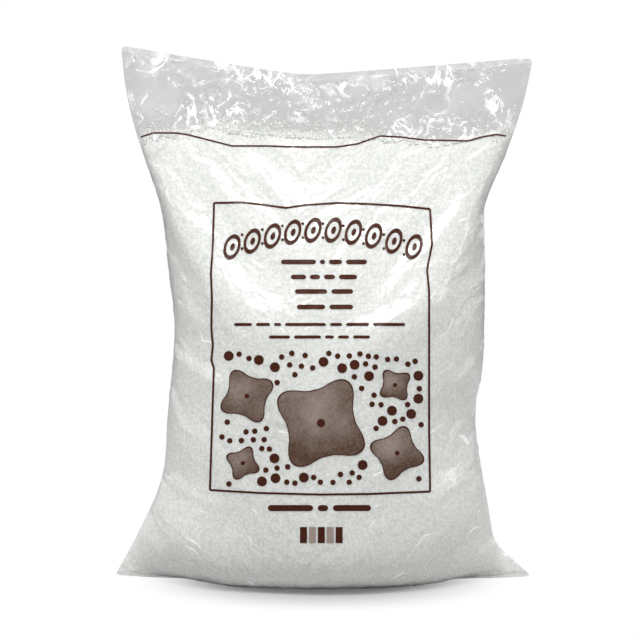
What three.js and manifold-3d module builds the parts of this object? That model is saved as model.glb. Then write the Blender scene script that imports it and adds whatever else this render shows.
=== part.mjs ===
// A clear plastic bag filled with expanded polystyrene beads, standing on its bottom weld.
// Millimetres, +Z up, the printed front faces -Y, and the origin is on the floor under the middle of the bag.
// The film is one lay-flat tube, welded shut at its top and bottom. Where the beads fill it, it bulges to
// an oval, its sides draw in and its corners stand out as ears. Above the beads it closes like a wedge.
import * as THREE from "three";
import { mergeVertices } from "three/addons/utils/BufferGeometryUtils.js";
import Module from "manifold-3d";

const wasm = await Module();
wasm.setup();

// The film
const layFlatWidth = 560; // from side fold to side fold, before the bag is filled
const filmThickness = 0.1;
const foldRadius = 0.8; // half the outer thickness of the empty tube at its side folds
const weldHeight = 8; // the fused strip along the top
const finHeight = 3.5; // the fused strip along the bottom
const ventDiameter = 2.5; // lets the air out, and is smaller than a bead

// Heights above the floor
const leftCornerHeight = 717;
const rightCornerHeight = 701;
const topDipHeight = 678; // the lowest place of the top edge
const beadLevel = 596;
const neckHeight = 497; // the sides are kinked here, where the full bag meets its flat neck
const tongueHeight = 322; // the flat front panel above the belly ends here in a V
const leftEarHeight = 10; // the ear tips stand off the floor
const rightEarHeight = 8;
const bottomWeldHeight = 4.2;

// Half-widths and half-depths
const bodyHalfWidth = 212;
const bellyHalfDepth = 130;
const neckHalfDepth = 62;
const levelHalfDepth = 23; // at the top of the beads
const footHalfDepth = 66; // the flat stretch on the floor
const toeRadius = 60;
const topDipOffset = -25; // from the middle, along the top edge

// The beads
const seatGap = 0.3; // clearance between touching pieces
const smallBead = 3.4;
const largeBead = 4.6;
const looseBeadCount = 36;
const clingHeight = 48; // how far above the heap loose beads cling to the film

// The mesh
const columns = 26; // across each panel
const bodyRings = 32; // from the bottom weld to the top weld

const halfFlat = layFlatWidth / 2;
const topWeldLine = topDipHeight - weldHeight;

const mix = THREE.MathUtils.lerp;
const ease = (value, low, high) => THREE.MathUtils.smoothstep(value, low, high);
const bell = (value, middle, width) => Math.exp(-(((value - middle) / width) ** 2));
const scatter = (n) => THREE.MathUtils.euclideanModulo(Math.sin(n * 12.9898 + 4.1) * 43758.5453, 1);

// A smooth line through knots of [position, value], without overshoot.
function throughKnots(knots) {
  const last = knots.length - 1;
  const steep = (i) => (knots[i + 1][1] - knots[i][1]) / (knots[i + 1][0] - knots[i][0]);
  const slope = (i) => {
    if (i <= 0 || i >= last) return steep(Math.min(i, last - 1));
    const [before, after] = [steep(i - 1), steep(i)];
    return before * after <= 0 ? 0 : (2 * before * after) / (before + after);
  };
  return (position) => {
    if (position <= knots[0][0]) return knots[0][1];
    if (position >= knots[last][0]) return knots[last][1];
    const i = knots.findIndex((knot) => knot[0] > position) - 1;
    const [[x0, y0], [x1, y1]] = [knots[i], knots[i + 1]];
    const t = (position - x0) / (x1 - x0);
    const along = y0 * (1 + 2 * t) * (1 - t) ** 2 + y1 * t * t * (3 - 2 * t);
    return along + (x1 - x0) * (slope(i) * t * (1 - t) ** 2 - slope(i + 1) * t * t * (1 - t));
  };
}

// How far each side of the filled bag stands from the middle, by height.
const leftReach = throughKnots([
  [leftEarHeight, halfFlat - 1],
  [70, halfFlat - 34],
  [128, bodyHalfWidth + 7],
  [146, bodyHalfWidth + 1],
  [215, bodyHalfWidth - 3],
  [345, bodyHalfWidth - 14],
  [428, bodyHalfWidth - 5],
  [neckHeight - 10, bodyHalfWidth],
  [neckHeight + 10, bodyHalfWidth + 4],
  [neckHeight + 90, bodyHalfWidth + 32],
  [neckHeight + 156, bodyHalfWidth + 49],
  [leftCornerHeight, halfFlat - 12],
]);
const rightReach = throughKnots([
  [rightEarHeight, halfFlat - 1],
  [40, halfFlat - 36],
  [56, bodyHalfWidth + 18],
  [97, bodyHalfWidth + 11],
  [150, bodyHalfWidth + 1],
  [222, bodyHalfWidth - 8],
  [244, bodyHalfWidth - 8],
  [262, bodyHalfWidth - 2],
  [310, bodyHalfWidth + 3],
  [430, bodyHalfWidth + 4],
  [neckHeight - 12, bodyHalfWidth + 2],
  [neckHeight, bodyHalfWidth - 1],
  [neckHeight + 50, bodyHalfWidth + 20],
  [neckHeight + 103, bodyHalfWidth + 41],
  [neckHeight + 156, bodyHalfWidth + 57],
  [rightCornerHeight, halfFlat - 2],
]);

// The wedge that closes the neck: half the depth of the bag at its middle, by height.
const wedgeDepth = throughKnots([
  [0, bellyHalfDepth + 60],
  [tongueHeight, bellyHalfDepth],
  [mix(tongueHeight, neckHeight, 0.35), mix(bellyHalfDepth, neckHalfDepth, 0.3)],
  [neckHeight, neckHalfDepth],
  [beadLevel, levelHalfDepth],
  [mix(beadLevel, topWeldLine, 0.6), levelHalfDepth * 0.5],
  [topWeldLine, filmThickness],
]);

// The height of the heap of beads, by the distance from the middle: it is heaped to the left.
const heapHeight = throughKnots([
  [-bodyHalfWidth - 40, beadLevel - 9],
  [-bodyHalfWidth + 6, beadLevel - 3],
  [-152, beadLevel + 13],
  [-84, beadLevel + 2],
  [30, beadLevel - 1],
  [110, beadLevel - 5],
  [158, beadLevel - 13],
  [bodyHalfWidth + 4, beadLevel - 2],
  [bodyHalfWidth + 40, beadLevel - 5],
]);

// The middle of the front: from the bottom weld along the floor, round the toe and up the belly.
function middleProfile() {
  const path = new THREE.CurvePath();
  const flare = 16; // the film leaves the weld and comes down to the floor within this
  const toe = new THREE.EllipseCurve(footHalfDepth, toeRadius - 1.5, toeRadius, toeRadius, -Math.PI / 2, -0.12);
  const stops = [
    new THREE.Vector2(0, bottomWeldHeight),
    new THREE.Vector2(flare, -0.6),
    toe.getPoint(0),
    toe.getPoint(1),
    new THREE.Vector2(bellyHalfDepth, tongueHeight * 0.62),
    new THREE.Vector2(bellyHalfDepth, topWeldLine),
  ];
  path.add(new THREE.LineCurve(stops[0], stops[1]));
  path.add(new THREE.LineCurve(stops[1], stops[2]));
  path.add(toe);
  path.add(new THREE.LineCurve(stops[3], stops[4]));
  path.add(new THREE.LineCurve(stops[4], stops[5]));
  return path;
}
const profile = middleProfile();

// Folds of the film, each along a line of [x, z] points. Ridges have a height, grooves a negative one.
const frontFolds = [
  { name: "left tongue crease", line: [[-214, 500], [-156, 430], [-104, 371], [-58, 346]], width: 26, height: 9.5 },
  { name: "right tongue crease", line: [[214, 497], [181, 456], [144, 396], [66, 324]], width: 26, height: 9.5 },
  { name: "left tongue hollow", line: [[-172, 520], [-118, 440], [-70, 400]], width: 32, height: -7 },
  { name: "right tongue hollow", line: [[172, 520], [118, 436], [60, 380]], width: 32, height: -7 },
  { name: "left neck tuck", line: [[-212, 470], [-168, 396]], width: 26, height: -11 },
  { name: "right neck tuck", line: [[212, 462], [170, 410]], width: 26, height: -11 },
  { name: "left waist gather", line: [[-204, 352], [-140, 306]], width: 24, height: -6 },
  { name: "left hip gather", line: [[-208, 262], [-150, 214]], width: 24, height: -5 },
  { name: "left ear fold", line: [[-214, 150], [-118, 92]], width: 28, height: -11 },
  { name: "left ear ridge", line: [[-236, 96], [-150, 46]], width: 26, height: 8 },
  { name: "left ear furrow", line: [[-236, 50], [-160, 14]], width: 22, height: -5 },
  { name: "right waist tuck", line: [[204, 243], [140, 222]], width: 24, height: -7 },
  { name: "right hip gather", line: [[208, 186], [136, 148]], width: 24, height: -6 },
  { name: "right ear fold", line: [[226, 66], [160, 40]], width: 26, height: -9 },
  { name: "right ear ridge", line: [[218, 118], [150, 76]], width: 28, height: 8 },
];
const backFolds = [
  { name: "left tongue crease", line: [[-212, 496], [-150, 420], [-92, 362], [-40, 346]], width: 26, height: 7 },
  { name: "right tongue crease", line: [[212, 494], [168, 436], [112, 372], [48, 340]], width: 26, height: 7 },
  { name: "tongue hollow", line: [[-96, 446], [0, 412], [90, 450]], width: 34, height: -5 },
  { name: "left neck tuck", line: [[-212, 462], [-160, 392]], width: 24, height: -8 },
  { name: "right neck tuck", line: [[212, 460], [160, 404]], width: 24, height: -8 },
  { name: "left waist gather", line: [[-204, 330], [-132, 296]], width: 24, height: -6 },
  { name: "right waist gather", line: [[212, 300], [146, 262]], width: 24, height: -6 },
  { name: "left hip gather", line: [[-210, 208], [-146, 180]], width: 24, height: -5 },
  { name: "right hip gather", line: [[208, 206], [150, 170]], width: 24, height: -5 },
  { name: "left ear fold", line: [[-218, 138], [-140, 84]], width: 28, height: -7 },
  { name: "right ear fold", line: [[226, 80], [150, 52]], width: 28, height: -7 },
];
// The empty film above the beads is crumpled: short folds that fan out below the top weld.
const crumples = [];
for (let x = -225; x <= 225; x += 45) {
  const foot = x + 16 * Math.sin(x * 0.053);
  const tall = 38 + 12 * Math.cos(x * 0.038);
  const height = Math.abs(x / 45) % 2 < 0.5 ? 5 : -4;
  crumples.push({
    name: "neck crumple",
    line: [[x, topWeldLine - 4], [foot, topWeldLine - tall]],
    width: 19,
    height,
  });
}

// The height of all folds at a point. Lengths across count for more where the film turns to the side.
function foldHeight(folds, point, stretch) {
  const origin = new THREE.Vector3();
  const near = new THREE.Vector3();
  let sum = 0;
  for (const { line, width, height } of folds) {
    const stops = line.map(([x, z]) => new THREE.Vector3((x - point.x) * stretch, z - point.z, 0));
    let least = Infinity;
    for (let i = 0; i + 1 < stops.length; i++) {
      new THREE.Line3(stops[i], stops[i + 1]).closestPointToPoint(origin, true, near);
      least = Math.min(least, near.length());
    }
    if (least < width) sum += height * (0.5 + 0.5 * Math.cos((Math.PI * least) / width));
  }
  const soft = 1.6 * Math.sin(point.x / 39 + point.z / 83) * Math.sin(point.z / 47 - point.x / 120 + 1);
  return sum + soft;
}

// One ring of the film, at a share of the way from the bottom weld to the top weld: the points of the
// front panel from left to right, evenly spaced along the film.
function ringAt(share) {
  const middle = profile.getPointAt(share);
  const rise = ease(share, 0, 0.34);
  const crown = ease(share, 0.8, 1);
  const dip = topDipOffset * crown;
  const left = mix(leftEarHeight + share * 420, mix(middle.y + 6, leftCornerHeight - weldHeight, crown), rise);
  const right = mix(rightEarHeight + share * 420, mix(middle.y + 6, rightCornerHeight - weldHeight, crown), rise);
  const reach = [leftReach(left), rightReach(right)];
  const turn = mix(mix(4, 2, ease(share, 0.05, 0.3)), 1.1, crown); // how sharply the ring turns up at its ends
  const full = mix(1.5, 2, ease(share, 0.08, 0.3)) - 0.5 * ease(share, 0.75, 1); // 2 is an ellipse, less a lens
  const soft = 14 * ease(share, 0.2, 0.5) * (1 - crown);
  const arch = 6 * bell(share, 0.13, 0.035); // the toe is drawn up a little, right of its middle
  const steps = 120;
  const curve = [];
  for (let i = 0; i <= steps; i++) {
    const across = Math.sin((i / steps - 0.5) * Math.PI);
    const x = across * (across < 0 ? reach[0] : reach[1]);
    const out = Math.min(1, Math.abs(x - dip) / (x < dip ? reach[0] + dip : reach[1] - dip));
    const climb = (x < dip ? left : right) - middle.y;
    const z = middle.y + climb * out ** turn + arch * bell(x, 45, 62);
    const oval = middle.x * Math.max(0, 1 - Math.abs(across) ** full) ** (1 / full);
    const wedge = wedgeDepth(z - climb * 0.8 * crown * out) * (1 - 0.12 * out * out);
    const blend = Math.max(soft - Math.abs(oval - wedge), 0);
    const depth = Math.min(oval, wedge) - (soft > 0 ? (blend * blend) / (4 * soft) : 0);
    curve.push(new THREE.Vector3(x, -Math.max(depth, 0), z));
  }
  const along = [0];
  for (let i = 1; i <= steps; i++) along.push(along[i - 1] + curve[i].distanceTo(curve[i - 1]));
  const points = [];
  for (let j = 0; j <= columns; j++) {
    const target = (j / columns) * along[steps];
    const found = along.findIndex((length) => length >= target);
    const i = Math.max(1, found < 0 ? steps : found);
    const t = (target - along[i - 1]) / (along[i] - along[i - 1]);
    points.push(curve[i - 1].clone().lerp(curve[i], Math.min(1, Math.max(0, t))));
  }
  return points;
}

// The rings stand closer together at the foot and the head.
const ringShare = (k) => {
  const t = k / bodyRings;
  return t - 0.016 * Math.sin(4 * Math.PI * t);
};

// One panel, with its folds pushed out square to it. Its side folds and welds stay where they are.
function panel(side, rings, folds) {
  const flat = rings.map((ring) => ring.map((point) => new THREE.Vector3(point.x, -side * point.y, point.z)));
  const last = flat.length - 1;
  const pitch = layFlatWidth / columns;
  const above = (k, j) => flat[Math.min(last, k + 1)][j];
  const below = (k, j) => flat[Math.max(0, k - 1)][j];
  const heights = flat.map((ring, k) =>
    ring.map((point, j) => {
      const across = ring[Math.min(columns, j + 1)].x - ring[Math.max(0, j - 1)].x;
      const stretch = Math.min(2, Math.max(1, (2 * pitch) / across));
      return foldHeight(folds, point, stretch);
    }),
  );
  // The film is too stiff to fold sharper than this: each height is shared with the places around it.
  const eased = (k, j) => {
    let sum = 0;
    for (let dk = -1; dk <= 1; dk++)
      for (let dj = -1; dj <= 1; dj++) {
        const ring = heights[Math.min(last, Math.max(0, k + dk))];
        sum += (ring[Math.min(columns, Math.max(0, j + dj))] * (2 - Math.abs(dk)) * (2 - Math.abs(dj))) / 16;
      }
    return sum;
  };
  return flat.map((ring, k) =>
    ring.map((point, j) => {
      const across = ring[Math.min(columns, j + 1)].clone().sub(ring[Math.max(0, j - 1)]);
      const outward = across.cross(above(k, j).clone().sub(below(k, j))).multiplyScalar(-side).normalize();
      const room = Math.min(1, Math.abs(point.y) / 9); // thin places have no room to fold
      const free = room * ease(k, 0, 3) * ease(last - k, 0, 3) * ease(Math.min(j, columns - j), 0, 4);
      const moved = point.clone().addScaledVector(outward, 1.35 * free * eased(k, j));
      const least = k === 0 || k === last ? filmThickness : foldRadius;
      moved.y = side * Math.max(side * moved.y, least);
      moved.z = Math.max(moved.z, 0);
      return moved;
    }),
  );
}

// A closed loop of points: the front from left to right, then the back from right to left.
const loopOf = (front, back) => [...front, ...[...back].reverse()];

// The outside of the film, from the edge of the bottom weld to the edge of the top weld.
function filmLoops() {
  const rings = [];
  for (let k = 0; k <= bodyRings; k++) rings.push(ringAt(ringShare(k)));
  const front = panel(-1, rings, [...frontFolds, ...crumples]);
  const back = panel(1, rings, [...backFolds, ...crumples]);
  const loops = front.map((ring, k) => loopOf(ring, back[k]));
  const shifted = (loop, rise) => loop.map((point) => new THREE.Vector3(point.x, point.y, point.z + rise));
  return [shifted(loops[0], -finHeight), ...loops, shifted(loops[bodyRings], weldHeight)];
}

// The same loops moved inwards by a distance, measured square to the faces around each point.
function insetLoops(loops, distance) {
  const around = loops[0].length;
  const at = (k, i) => loops[k][(i + around) % around];
  const faceNormal = (k, i) => {
    if (k < 0 || k + 1 >= loops.length) return null;
    const normal = at(k + 1, i + 1).clone().sub(at(k, i)).cross(at(k + 1, i).clone().sub(at(k, i + 1)));
    return normal.lengthSq() > 0 ? normal.normalize() : null;
  };
  return loops.map((loop, k) =>
    loop.map((point, i) => {
      const normals = [faceNormal(k, i), faceNormal(k, i - 1), faceNormal(k - 1, i), faceNormal(k - 1, i - 1)];
      const faces = normals.filter(Boolean);
      const mean = faces.reduce((sum, normal) => sum.add(normal), new THREE.Vector3()).normalize();
      const least = Math.max(0.5, Math.min(...faces.map((normal) => normal.dot(mean))));
      return point.clone().addScaledVector(mean, -distance / least);
    }),
  );
}

// A solid from a stack of loops. Its two ends are closed between front and back.
function solidOfLoops(loops) {
  const positions = [];
  const triangle = (...corners) => corners.forEach((point) => positions.push(point.x, point.y, point.z));
  const quad = (a, b, c, d) => {
    triangle(a, b, c);
    triangle(a, c, d);
  };
  const around = loops[0].length;
  const panelPoints = around / 2;
  for (let k = 0; k + 1 < loops.length; k++)
    for (let i = 0; i < around; i++) {
      const next = (i + 1) % around;
      quad(loops[k][i], loops[k][next], loops[k + 1][next], loops[k + 1][i]);
    }
  const [foot, head] = [loops[0], loops[loops.length - 1]];
  for (let j = 0; j + 1 < panelPoints; j++) {
    quad(foot[j], foot[around - 1 - j], foot[around - 2 - j], foot[j + 1]);
    quad(head[j], head[j + 1], head[around - 2 - j], head[around - 1 - j]);
  }
  const geometry = new THREE.BufferGeometry();
  geometry.setAttribute("position", new THREE.Float32BufferAttribute(positions, 3));
  return solidOfGeometry(geometry);
}

function solidOfGeometry(geometry) {
  const bare = geometry.clone();
  bare.deleteAttribute("normal");
  bare.deleteAttribute("uv");
  const merged = mergeVertices(bare, 1e-3);
  const kept = [];
  for (let i = 0; i < merged.index.count; i += 3) {
    const [a, b, c] = [0, 1, 2].map((n) => merged.index.getX(i + n));
    if (a !== b && b !== c && c !== a) kept.push(a, b, c);
  }
  const vertProperties = merged.attributes.position.array;
  return new wasm.Manifold(new wasm.Mesh({ numProp: 3, vertProperties, triVerts: new Uint32Array(kept) }));
}

function geometryOfSolid(solid) {
  const mesh = solid.getMesh();
  const positions = new Float32Array(mesh.numVert * 3);
  for (let i = 0; i < mesh.numVert; i++)
    positions.set(mesh.vertProperties.subarray(i * mesh.numProp, i * mesh.numProp + 3), i * 3);
  const geometry = new THREE.BufferGeometry();
  geometry.setAttribute("position", new THREE.BufferAttribute(positions, 3));
  geometry.setIndex(new THREE.BufferAttribute(new Uint32Array(mesh.triVerts), 1));
  geometry.computeVertexNormals();
  return geometry;
}

function named(name, geometry, material) {
  const mesh = new THREE.Mesh(geometry, material);
  mesh.name = name;
  return mesh;
}

const outside = filmLoops();

// The hollow of the bag. At both welds the inner faces of front and back run together into one line.
function hollowLoops() {
  const loops = insetLoops(outside, filmThickness).slice(1, -1);
  const ends = [
    [loops[0], outside[1]],
    [loops[loops.length - 1], outside[outside.length - 2]],
  ];
  for (const [loop, shell] of ends)
    loop.forEach((point, i) => {
      point.set(Math.sign(point.x) * (Math.abs(point.x) - foldRadius / 2), 0, shell[i].z);
    });
  return loops;
}

// A small round hole through the back panel, above the beads.
function ventHole() {
  const ring = outside[outside.length - 5];
  const seat = ring[ring.length - 1 - Math.round(columns / 2)];
  const drill = new THREE.CylinderGeometry(ventDiameter / 2, ventDiameter / 2, 2 * levelHalfDepth, 12);
  drill.translate(seat.x + 6, seat.y + levelHalfDepth * 0.9, seat.z - 8);
  return solidOfGeometry(drill);
}

function bagFilm() {
  const shell = solidOfLoops(outside).subtract(solidOfLoops(hollowLoops()));
  const clearFilm = new THREE.MeshStandardMaterial({
    color: 0xe9ebe8,
    roughness: 0.12,
    metalness: 0,
    transparent: true,
    opacity: 0.3,
  });
  return named("bag_film", geometryOfSolid(shell.subtract(ventHole())), clearFilm);
}

const whiteFoam = new THREE.MeshStandardMaterial({ color: 0xf4f5f3, roughness: 0.78, metalness: 0 });

// Ends every upward line of a stack of loops where it meets the top of the heap.
function cutToHeap(loops) {
  const over = (point) => point.z - heapHeight(point.x);
  const ends = loops[0].map((_, i) => {
    const k = loops.findIndex((loop) => over(loop[i]) > 0);
    const [low, high] = [loops[k - 1][i], loops[k][i]];
    const share = over(low) / (over(low) - over(high));
    const snapped = share < 0.12 ? 0 : share > 0.88 ? 1 : share;
    const point = low.clone().lerp(high, snapped);
    point.y -= Math.sign(point.y) * 3 * seatGap;
    return { k, point };
  });
  const top = Math.max(...ends.map((end) => end.k));
  return loops.slice(0, top + 1).map((loop, k) => loop.map((point, i) => (k < ends[i].k ? point : ends[i].point)));
}

// The packed beads fill the hollow up to their level, but not its ends that are thinner than a bead.
function beadFill() {
  const loops = cutToHeap(insetLoops(outside, filmThickness + seatGap).slice(2, -2));
  const held = (points, [first, final]) => points.map((_, j) => points[Math.min(final, Math.max(first, j))]);
  const halves = (loop) => [loop.slice(0, columns + 1), loop.slice(columns + 1).reverse()];
  const ends = [];
  const room = loops.map((loop) => {
    const [front, back] = halves(loop);
    front.forEach((point) => (point.y = Math.min(point.y, -seatGap)));
    back.forEach((point) => (point.y = Math.max(point.y, seatGap)));
    const depth = (j) => Math.min(-front[j].y, back[j].y);
    const open = (j, inner) => depth(j) > smallBead / 2 || depth(inner) > 3 * smallBead;
    let first = 0;
    while (first < columns / 2 - 1 && !open(first, first + 1)) first++;
    let final = columns;
    while (final > columns / 2 + 1 && !open(final, final - 1)) final--;
    ends.push([first, final]);
    return loopOf(held(front, [first, final]), held(back, [first, final]));
  });
  // Under the heap the beads lie against the film on both sides of the weld, which stands up between them.
  const ridge = halves(outside[1])[0].map((weld) => new THREE.Vector3(weld.x, 0, weld.z + 4 * seatGap));
  const crest = held(ridge, ends[0]);
  room.unshift(loopOf(crest, crest));
  return named("bead_fill", geometryOfSolid(solidOfLoops(room)), whiteFoam);
}

// Places on the inside of the film just above the heap where a loose bead can cling, with the way outwards.
function clingPlaces() {
  const places = [];
  for (let k = 1; k < outside.length - 2; k++)
    for (let i = 0; i < 2 * columns + 1; i++) {
      if (i === columns) continue;
      const corners = [outside[k][i], outside[k][i + 1], outside[k + 1][i + 1]];
      const n = k * 100 + i;
      const weights = [0.25 + 0.25 * scatter(n), 0.22 + 0.25 * scatter(n + 0.5)];
      weights.push(1 - weights[0] - weights[1]);
      const point = new THREE.Vector3();
      corners.forEach((corner, c) => point.addScaledVector(corner, weights[c]));
      const outward = corners[1].clone().sub(corners[0]).cross(corners[2].clone().sub(corners[0])).normalize();
      const above = point.z - heapHeight(point.x);
      const spread = bell(point.x, -75, 100) + bell(point.x, 185, 50) + 0.7 * bell(point.x, -228, 22);
      const likely = spread * (1 - above / clingHeight);
      if (above < largeBead + 2 * seatGap || Math.abs(point.y) < largeBead + 4 * seatGap) continue;
      if (likely > 0) places.push({ point, outward, order: scatter(n + 0.25) / likely });
    }
  return places.sort((a, b) => a.order - b.order).slice(0, looseBeadCount);
}

function looseBeads() {
  return clingPlaces().map(({ point, outward }, n) => {
    const radius = mix(smallBead, largeBead, scatter(n)) / 2;
    const seat = point.clone().addScaledVector(outward, -(radius + filmThickness + seatGap));
    const bead = new THREE.SphereGeometry(radius, 6, 4);
    bead.rotateX(scatter(n + 0.7) * Math.PI);
    bead.translate(seat.x, seat.y, seat.z);
    return named(`loose_bead_${String(n + 1).padStart(2, "0")}`, geometryOfSolid(solidOfGeometry(bead)), whiteFoam);
  });
}

const bag = new THREE.Group();
bag.add(bagFilm(), beadFill(), ...looseBeads());
export default bag;
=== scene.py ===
import math

import bmesh
import bpy
import numpy as np
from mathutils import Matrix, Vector
from mathutils.bvhtree import BVHTree


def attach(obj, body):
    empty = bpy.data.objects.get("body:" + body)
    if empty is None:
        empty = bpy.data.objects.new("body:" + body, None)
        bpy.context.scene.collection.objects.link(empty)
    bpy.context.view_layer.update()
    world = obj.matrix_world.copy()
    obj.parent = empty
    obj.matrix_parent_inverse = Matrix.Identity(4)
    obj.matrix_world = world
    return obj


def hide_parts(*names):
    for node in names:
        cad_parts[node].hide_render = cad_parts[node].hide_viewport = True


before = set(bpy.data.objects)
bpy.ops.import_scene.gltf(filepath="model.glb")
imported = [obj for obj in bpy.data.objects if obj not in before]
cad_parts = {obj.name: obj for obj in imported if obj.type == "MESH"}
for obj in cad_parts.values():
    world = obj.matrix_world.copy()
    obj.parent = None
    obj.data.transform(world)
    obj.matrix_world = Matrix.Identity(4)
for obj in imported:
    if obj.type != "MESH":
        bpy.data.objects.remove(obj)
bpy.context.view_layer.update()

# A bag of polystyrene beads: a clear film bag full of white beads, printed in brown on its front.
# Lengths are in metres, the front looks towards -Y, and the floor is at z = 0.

scene = bpy.context.scene
randomDraws = np.random.default_rng(40)
beadsPerMetre = 245


def deselectAll():
    if bpy.context.object and bpy.context.object.mode != "OBJECT":
        bpy.ops.object.mode_set(mode="OBJECT")
    bpy.ops.object.select_all(action="DESELECT")


def makeActive(piece):
    deselectAll()
    piece.select_set(True)
    bpy.context.view_layer.objects.active = piece


def applyModifier(piece, kind, **settings):
    makeActive(piece)
    modifier = piece.modifiers.new(kind.title(), kind)
    for name, value in settings.items():
        setattr(modifier, name, value)
    bpy.ops.object.modifier_apply(modifier=modifier.name)


def placeInMesh(piece):
    makeActive(piece)
    bpy.ops.object.transform_apply(location=True, rotation=True, scale=True)


def joined(pieces, name):
    deselectAll()
    for piece in pieces:
        piece.select_set(True)
    bpy.context.view_layer.objects.active = pieces[0]
    if len(pieces) > 1:
        bpy.ops.object.join()
    piece = bpy.context.object
    piece.name = name
    return piece


def pointsOf(piece):
    points = np.empty(len(piece.data.vertices) * 3)
    piece.data.vertices.foreach_get("co", points)
    return points.reshape(-1, 3)


def setPoints(piece, points):
    piece.data.vertices.foreach_set("co", np.ascontiguousarray(points, dtype=np.float32).ravel())
    piece.data.update()


def normalsOf(piece):
    normals = np.empty(len(piece.data.vertices) * 3)
    piece.data.vertex_normals.foreach_get("vector", normals)
    return normals.reshape(-1, 3)


def eased(values, low, high):
    share = np.clip((values - low) / (high - low), 0, 1)
    return share * share * (3 - 2 * share)


def addAttribute(piece, name, values):
    attribute = piece.data.attributes.new(name, "FLOAT", "POINT")
    attribute.data.foreach_set("value", np.asarray(values, dtype=np.float32))


# The camera stands at the photograph's viewing angle. Its picture is 640 by 640 pixels, and the print and the
# folds of the front are placed in those pixels.
cameraLook = {"distance": 3.3, "elevation": 5.4, "lens": 139.0, "sensor": 36.0, "aim": (-0.004, 0.0, 0.352)}
pictureMiddle = 320
perPixel = cameraLook["sensor"] / 2 / cameraLook["lens"] / pictureMiddle


def makeCamera():
    data = bpy.data.cameras.new("camera")
    data.lens = cameraLook["lens"]
    data.sensor_width = cameraLook["sensor"]
    camera = bpy.data.objects.new("camera", data)
    scene.collection.objects.link(camera)
    tilt = math.radians(cameraLook["elevation"])
    aim = Vector(cameraLook["aim"])
    away = Vector((0, -math.cos(tilt), math.sin(tilt))) * cameraLook["distance"]
    camera.location = aim + away
    camera.rotation_euler = (-away).to_track_quat("-Z", "Y").to_euler()
    scene.camera = camera
    return camera


camera = makeCamera()
print("camera is set")


# Where the sight line through a point of the picture starts, and the way it goes.
def sightLine(px, py):
    ahead = Vector(((px - pictureMiddle) * perPixel, (pictureMiddle - py) * perPixel, -1))
    return camera.location, (camera.rotation_euler.to_matrix() @ ahead).normalized()


def pictureOf(points):
    turn = np.array(camera.rotation_euler.to_matrix())
    local = (points - np.array(camera.location)) @ turn
    right, up = local[:, 0] / -local[:, 2], local[:, 1] / -local[:, 2]
    return np.stack([pictureMiddle + right / perPixel, pictureMiddle - up / perPixel], axis=1)


def colour(hexCode):
    parts = [int(hexCode[i:i + 2], 16) / 255 for i in (1, 3, 5)]
    return [c / 12.92 if c <= 0.04045 else ((c + 0.055) / 1.055) ** 2.4 for c in parts] + [1.0]


def addNode(tree, kind, settings=None, **inputs):
    node = tree.nodes.new(kind)
    for name, value in (settings or {}).items():
        setattr(node, name, value)
    for name, value in inputs.items():
        key = int(name[2:]) if name.startswith("in") and name[2:].isdigit() else name.replace("_", " ")
        if isinstance(value, bpy.types.NodeSocket):
            tree.links.new(value, node.inputs[key])
        else:
            node.inputs[key].default_value = value
    return node


def newMaterial(name):
    material = bpy.data.materials.new(name)
    material.use_nodes = True
    material.node_tree.nodes.clear()
    return material, material.node_tree


def finishMaterial(tree, shader):
    output = tree.nodes.new("ShaderNodeOutputMaterial")
    tree.links.new(shader, output.inputs["Surface"])


# Expanded polystyrene: moulded from steam-blown beads with a dull, slightly orange-peeled skin. Packed
# together they show round white caps, and the hollows between them are painted a soft grey: painted shade
# where less light reaches.
def makePolystyrene():
    material, tree = newMaterial("expanded polystyrene")
    place = addNode(tree, "ShaderNodeTexCoord")
    cells = addNode(tree, "ShaderNodeTexVoronoi", {"feature": "F1"}, Vector=place.outputs["Object"],
                    Scale=beadsPerMetre)
    # Painted shade: grey in the hollows between the beads.
    hollowShade = addNode(tree, "ShaderNodeMapRange", {"interpolation_type": "SMOOTHSTEP"},
                     Value=cells.outputs["Distance"], From_Min=0.3, From_Max=0.75)
    drift = addNode(tree, "ShaderNodeTexNoise", Vector=place.outputs["Object"], Scale=9, Detail=2)
    tint = addNode(tree, "ShaderNodeMix", {"data_type": "RGBA"}, Factor=drift.outputs["Fac"],
                   in6=colour("#F6F7F4"), in7=colour("#EFF1EC"))
    shade = addNode(tree, "ShaderNodeMix", {"data_type": "RGBA"}, Factor=hollowShade.outputs["Result"],
                    in6=tint.outputs[2], in7=colour("#D2D4D0"))
    rounds = addNode(tree, "ShaderNodeBump", {"invert": True}, Height=cells.outputs["Distance"],
                     Strength=0.4, Distance=0.001)
    skin = addNode(tree, "ShaderNodeBsdfPrincipled", Base_Color=shade.outputs[2], Roughness=0.78,
                   IOR=1.45, Normal=rounds.outputs["Normal"])
    skin.inputs["Specular IOR Level"].default_value = 0.35
    finishMaterial(tree, skin.outputs["BSDF"])
    return material


# A single bead of it: a matt white round with hardly any mottling.
def makeBeadSkin():
    material, tree = newMaterial("expanded polystyrene bead")
    place = addNode(tree, "ShaderNodeTexCoord")
    drift = addNode(tree, "ShaderNodeTexNoise", Vector=place.outputs["Object"], Scale=300, Detail=1)
    tint = addNode(tree, "ShaderNodeMix", {"data_type": "RGBA"}, Factor=drift.outputs["Fac"],
                   in6=colour("#FCFDFB"), in7=colour("#F1F3EF"))
    skin = addNode(tree, "ShaderNodeBsdfPrincipled", Base_Color=tint.outputs[2], Roughness=0.7, IOR=1.45)
    finishMaterial(tree, skin.outputs["BSDF"])
    return material


# Each set of painted highlight slivers: its lean in radians, its noise scale across and along, and its least
# noise value.
paintedHighlightSets = [(0.15, (130, 130, 20), 0.6), (-0.6, (140, 140, 18), 0.61), (0.75, (135, 135, 17), 0.615)]
# The film's alphas, and glintGlow, the emission strength of the painted glints, which glow though they are no
# lamp.
filmShare = {"glintGlow": 0.2, "whiteAlpha": 0.92, "beadAlpha": 0.86, "scatterAlpha": 0.6,
             "shadowAlpha": 0.15}
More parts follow.
